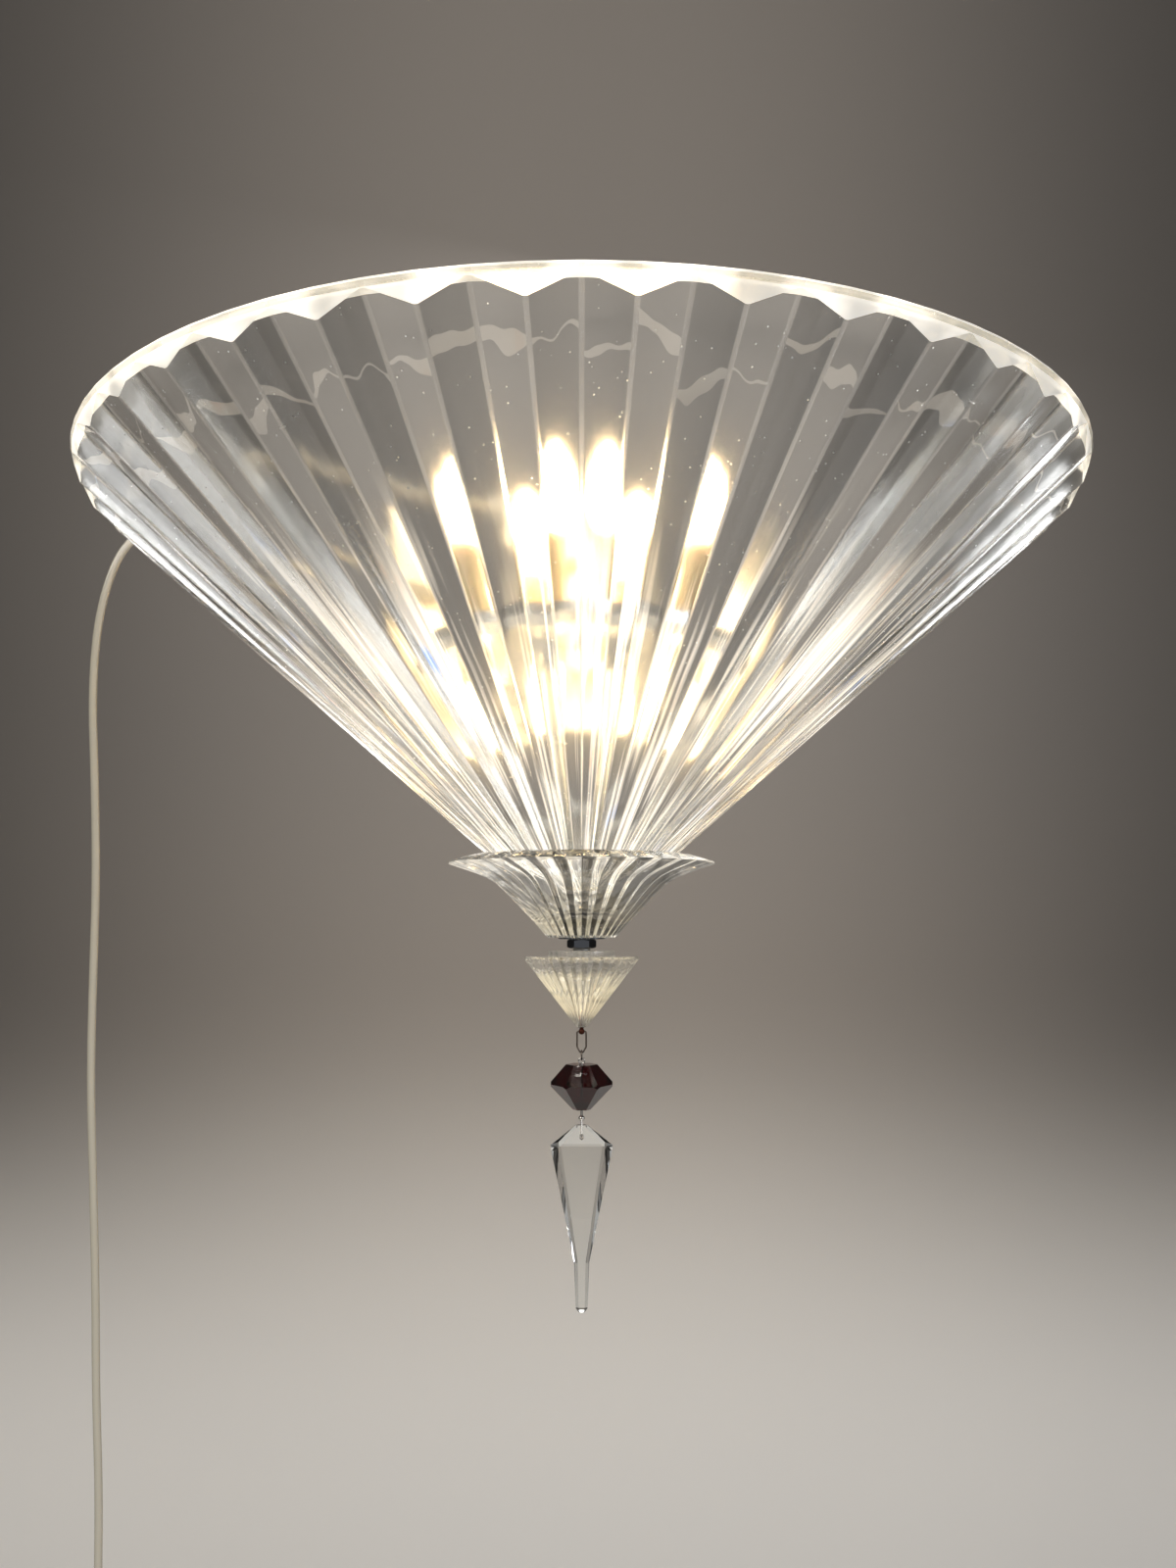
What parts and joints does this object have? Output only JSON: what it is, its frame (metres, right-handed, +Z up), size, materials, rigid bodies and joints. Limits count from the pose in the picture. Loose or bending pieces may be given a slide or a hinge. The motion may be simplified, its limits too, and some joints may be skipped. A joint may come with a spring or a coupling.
{
  "type": "crystal wall sconce",
  "caption": "Wall light with a fluted, conical crystal shade on a steel wall plate, a flared glass dish below it, a red bead and a hanging spear drop, and a mains cord.",
  "frame": {"origin": "middle of the wall plate's back face, on the wall", "axes": "+Z up, +X to the right seen from the front, +Y into the wall"},
  "size_m": [0.5714, 0.3426, 0.841],
  "materials": {
    "plate_steel": "polished stainless sheet, faint grinding lines",
    "bracket_steel": "chromed pressed steel",
    "zinc": "zinc-plated threaded steel",
    "chrome": "bright chrome plate",
    "box_plastic": "moulded white housing, fine grain",
    "block_nylon": "natural nylon",
    "liner_card": "insulating card",
    "gland_nylon": "grey nylon gland",
    "feed_sleeve": "woven glass-fibre sleeve",
    "sleeve_cream": "cream candle sleeve, satin",
    "holder_plastic": "white glazed lampholder",
    "lamp_cap": "rolled lamp cap",
    "bulb_glass": "frosted warm lamp glass",
    "crystal": "clear lead crystal, cut and fire-polished",
    "seal_rubber": "translucent silicone rubber",
    "copper_pin": "dark copper-brown pin",
    "pendant_wire": "bright plated wire",
    "red_crystal": "deep red cut glass",
    "cord_clear": "clear twin flex over tinned copper cores",
    "cord_tie": "clear tie",
    "plug_plastic": "moulded plug",
    "plug_brass": "turned pins"
  },
  "bodies": {
    "fixture": {"wall_plate": "plate_steel", "support_arm": "bracket_steel", "lamp_tray": "bracket_steel", "arm_screws": "zinc", "threaded_rod": "zinc", "tray_washer": "chrome", "tray_nut": "chrome", "arm_nut": "chrome", "inner_washer": "chrome", "inner_nut": "chrome", "dish_washer": "chrome", "dish_nut": "chrome", "terminal_cover": "box_plastic", "terminal_block": "block_nylon", "terminal_liner": "liner_card", "cable_gland": "gland_nylon", "feed_cable": "feed_sleeve", "candle_sleeve_1": "sleeve_cream", "lamp_holder_1": "holder_plastic", "bulb_cap_1": "lamp_cap", "candle_bulb_1": "bulb_glass", "candle_sleeve_2": "sleeve_cream", "lamp_holder_2": "holder_plastic", "bulb_cap_2": "lamp_cap", "candle_bulb_2": "bulb_glass", "candle_sleeve_3": "sleeve_cream", "lamp_holder_3": "holder_plastic", "bulb_cap_3": "lamp_cap", "candle_bulb_3": "bulb_glass", "capsule_holder_1": "holder_plastic", "capsule_lamp_1": "bulb_glass", "capsule_holder_2": "holder_plastic", "capsule_lamp_2": "bulb_glass", "glass_shade": "crystal", "lower_dish": "crystal", "spacer_disc": "crystal", "small_cone": "crystal", "inner_gasket": "seal_rubber", "neck_gasket": "seal_rubber", "cone_pin": "copper_pin", "cord_lead": "cord_clear", "cord_coil": "cord_clear", "cord_tail": "cord_clear", "cord_tie": "cord_tie", "plug_body": "plug_plastic", "plug_pins": "plug_brass"},
    "link": {"pendant_link": "pendant_wire"},
    "ring": {"jump_ring": "pendant_wire"},
    "bead": {"cut_bead": "red_crystal", "bead_pin": "pendant_wire"},
    "hook": {"drop_hook": "pendant_wire"},
    "drop": {"cut_drop": "crystal"}
  },
  "joints": [
    {"name": "link_swing", "type": "hinge", "parent": "fixture", "child": "link", "pos_m": [0, -0.08, -0.2533], "axis": [1, 0, 0], "range_deg": [-15, 15]},
    {"name": "ring_swing", "type": "hinge", "parent": "link", "child": "ring", "pos_m": [0, -0.08, -0.2648], "axis": [1, 0, 0], "range_deg": [-12, 12]},
    {"name": "bead_swing", "type": "hinge", "parent": "ring", "child": "bead", "pos_m": [0, -0.08, -0.26895], "axis": [0, 1, 0], "range_deg": [-25, 25]},
    {"name": "hook_swing", "type": "hinge", "parent": "bead", "child": "hook", "pos_m": [0, -0.08, -0.3013], "axis": [0, 1, 0], "range_deg": [-20, 20]},
    {"name": "drop_swing", "type": "hinge", "parent": "hook", "child": "drop", "pos_m": [0, -0.08, -0.3115], "axis": [0, 1, 0], "range_deg": [-25, 25]}
  ]
}
